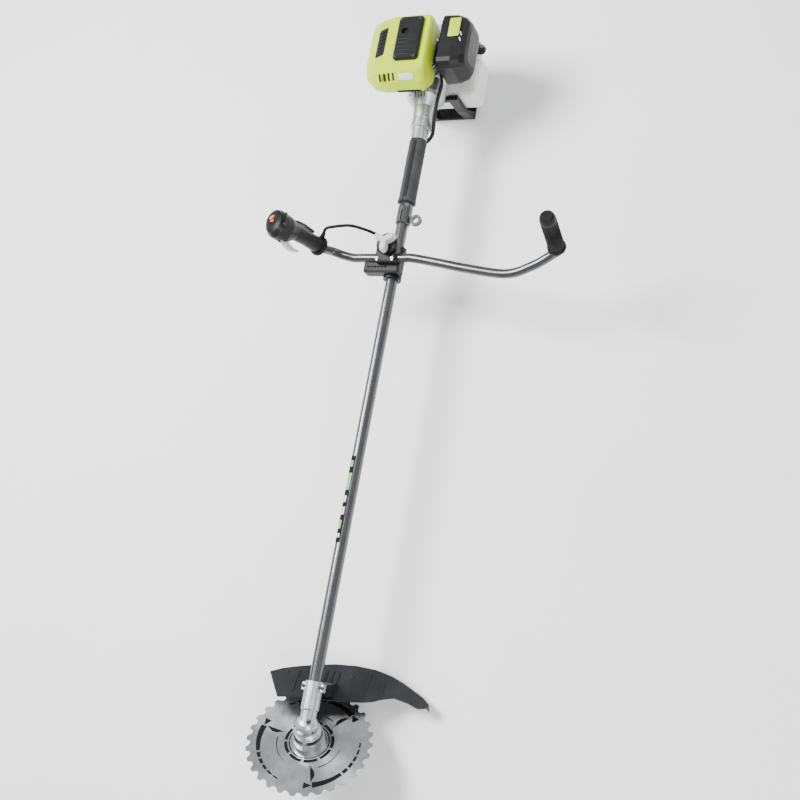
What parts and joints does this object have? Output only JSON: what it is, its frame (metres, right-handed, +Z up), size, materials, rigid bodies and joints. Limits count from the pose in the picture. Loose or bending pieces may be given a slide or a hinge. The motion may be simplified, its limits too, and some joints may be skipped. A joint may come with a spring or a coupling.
{
  "type": "petrol brush cutter",
  "caption": "Petrol brush cutter with a toothed disc blade, a bike handle and a rear engine on a stand.",
  "frame": {"origin": "on the ground, in the middle of the engine stand's flat sole, under the boom axis", "axes": "+X along the boom from the engine to the blade, +Y to the operator's left, +Z up"},
  "size_m": [1.6997, 0.6265, 0.3834],
  "materials": {
    "lime_shell": "smooth moulded lime green plastic",
    "black_plastic": "fine-grained moulded plastic",
    "black_rubber": "moulded rubber",
    "grey_plastic": "dark grey moulded plastic",
    "grey_foam_rubber": "dense foam sleeve",
    "light_plastic": "light grey moulded plastic",
    "grey_tube": "satin grey paint on tube",
    "die_cast": "die-cast aluminium",
    "bright_steel": "ground steel",
    "dark_steel": "blackened steel",
    "tank_plastic": "milky blow-moulded plastic",
    "orange_plastic": "moulded orange plastic",
    "filter_foam": "open-cell foam",
    "white_ceramic": "glazed insulator",
    "bronze": "sintered bronze"
  },
  "bodies": {
    "frame": {"air_filter_cover": "black_plastic", "boom_tube": "grey_tube", "bracket_cap": "black_plastic", "carburettor": "die_cast", "clutch_housing": "die_cast", "crankcase_front": "die_cast", "crankcase_rear": "die_cast", "cylinder": "die_cast", "engine_cover": "lime_shell", "filter_element": "filter_foam", "filter_plate": "black_plastic", "fuel_tank": "tank_plastic", "gear_case": "die_cast", "guard": "grey_plastic", "guard_bracket": "black_plastic", "handle_bracket": "black_plastic", "hanger_clamp": "grey_tube", "hanger_eyelet": "dark_steel", "hip_sleeve": "grey_foam_rubber", "intake_manifold": "black_plastic", "muffler": "dark_steel", "output_bearing_lower": "bright_steel", "output_bearing_upper": "bright_steel", "pinion_bearing": "bright_steel", "plug_boot": "black_rubber", "plug_cover": "black_plastic", "shaft_bush_1": "bronze", "shaft_bush_2": "bronze", "shaft_bush_3": "bronze", "spark_plug": "white_ceramic", "stand": "black_plastic", "starter_housing": "light_plastic", "throttle_cable": "black_rubber"},
    "blade_rotor": {"bevel_gear": "bright_steel", "output_shaft": "bright_steel", "dust_bell": "die_cast", "blade": "bright_steel", "clamp_washer": "bright_steel", "stabiliser_cup": "dark_steel", "blade_nut": "bright_steel"},
    "drive_line": {"drive_shaft": "bright_steel", "bevel_pinion": "bright_steel", "clutch_drum": "bright_steel"},
    "crank_rotor": {"crankshaft": "bright_steel", "flywheel": "die_cast", "clutch_shoe_1": "dark_steel", "clutch_shoe_2": "dark_steel"},
    "piston_body": {"piston": "die_cast"},
    "handlebar_body": {"handlebar": "grey_tube", "plain_grip": "black_rubber", "throttle_housing": "black_plastic"},
    "trigger_body": {"throttle_trigger": "light_plastic"},
    "lockout_body": {"lockout_lever": "grey_plastic"},
    "switch_body": {"stop_switch": "orange_plastic"},
    "knob_body": {"wing_knob": "light_plastic"},
    "pull_body": {"starter_grip": "black_plastic"},
    "pulley_body": {"starter_pulley": "black_plastic"},
    "choke_body": {"choke_lever": "black_plastic"},
    "primer_body": {"primer_bulb": "tank_plastic"},
    "cap_body": {"fuel_cap": "black_plastic"}
  },
  "joints": [
    {"name": "blade_spin", "type": "hinge", "parent": "frame", "child": "blade_rotor", "pos_m": [1.471, 0, 0.16], "axis": [-0.5664, 0.1713, 0.8061], "continuous": true},
    {"name": "drive_spin", "type": "hinge", "parent": "frame", "child": "drive_line", "pos_m": [1.2, 0, 0.16], "axis": [1, 0, 0], "continuous": true},
    {"name": "engine_spin", "type": "hinge", "parent": "frame", "child": "crank_rotor", "pos_m": [0, 0, 0.16], "axis": [1, 0, 0], "continuous": true},
    {"name": "piston_travel", "type": "slide", "parent": "frame", "child": "piston_body", "axis": [0, 0, 1], "range_m": [-0.026, 0]},
    {"name": "handlebar_tilt", "type": "hinge", "parent": "frame", "child": "handlebar_body", "pos_m": [0.487, 0, 0.193], "axis": [0, 1, 0], "range_deg": [-12, 12], "deforming": ["throttle_cable"]},
    {"name": "trigger_pull", "type": "hinge", "parent": "handlebar_body", "child": "trigger_body", "pos_m": [0.50557, -0.18098, 0.34356], "axis": [0, 0.9559, 0.2938], "range_deg": [0, 18], "stiffness_Nm_per_rad": 0.15, "springref_deg": -5.73},
    {"name": "lockout_press", "type": "hinge", "parent": "handlebar_body", "child": "lockout_body", "pos_m": [0.46378, -0.17468, 0.32307], "axis": [0, 0.9559, 0.2938], "range_deg": [-5.5, 0], "stiffness_Nm_per_rad": 0.15, "springref_deg": 5.73},
    {"name": "stop_switch_slide", "type": "slide", "parent": "handlebar_body", "child": "switch_body", "axis": [0.9999, 0.004, -0.013], "range_m": [0, 0.004]},
    {"name": "wing_knob_turn", "type": "hinge", "parent": "frame", "child": "knob_body", "pos_m": [0.463, 0, 0.22], "axis": [0, 0, 1], "continuous": true},
    {"name": "starter_pull", "type": "slide", "parent": "frame", "child": "pull_body", "axis": [0, -1, 0], "range_m": [0, 0.6]},
    {"name": "starter_pulley_turn", "type": "hinge", "parent": "frame", "child": "pulley_body", "pos_m": [-0.077, 0, 0.16], "axis": [1, 0, 0], "range_deg": [-1230, 1]},
    {"name": "choke_turn", "type": "hinge", "parent": "frame", "child": "choke_body", "pos_m": [0.0365, 0.0405, 0.206], "axis": [0, 1, 0], "range_deg": [0, 60]},
    {"name": "primer_press", "type": "slide", "parent": "frame", "child": "primer_body", "axis": [0, 0, 1], "range_m": [0, 0.004], "stiffness_N_per_m": 300, "springref_m": -0.001},
    {"name": "fuel_cap_turn", "type": "hinge", "parent": "frame", "child": "cap_body", "pos_m": [-0.0652, 0.08542, 0.11651], "axis": [-0.6222, 0.3011, 0.7226], "range_deg": [0, 90]}
  ],
  "couplings": [
    {"joint": "drive_spin", "follows": "blade_spin", "ratio": -1.3571},
    {"joint": "starter_pulley_turn", "follows": "starter_pull", "rad_per_m": -35.714}
  ]
}
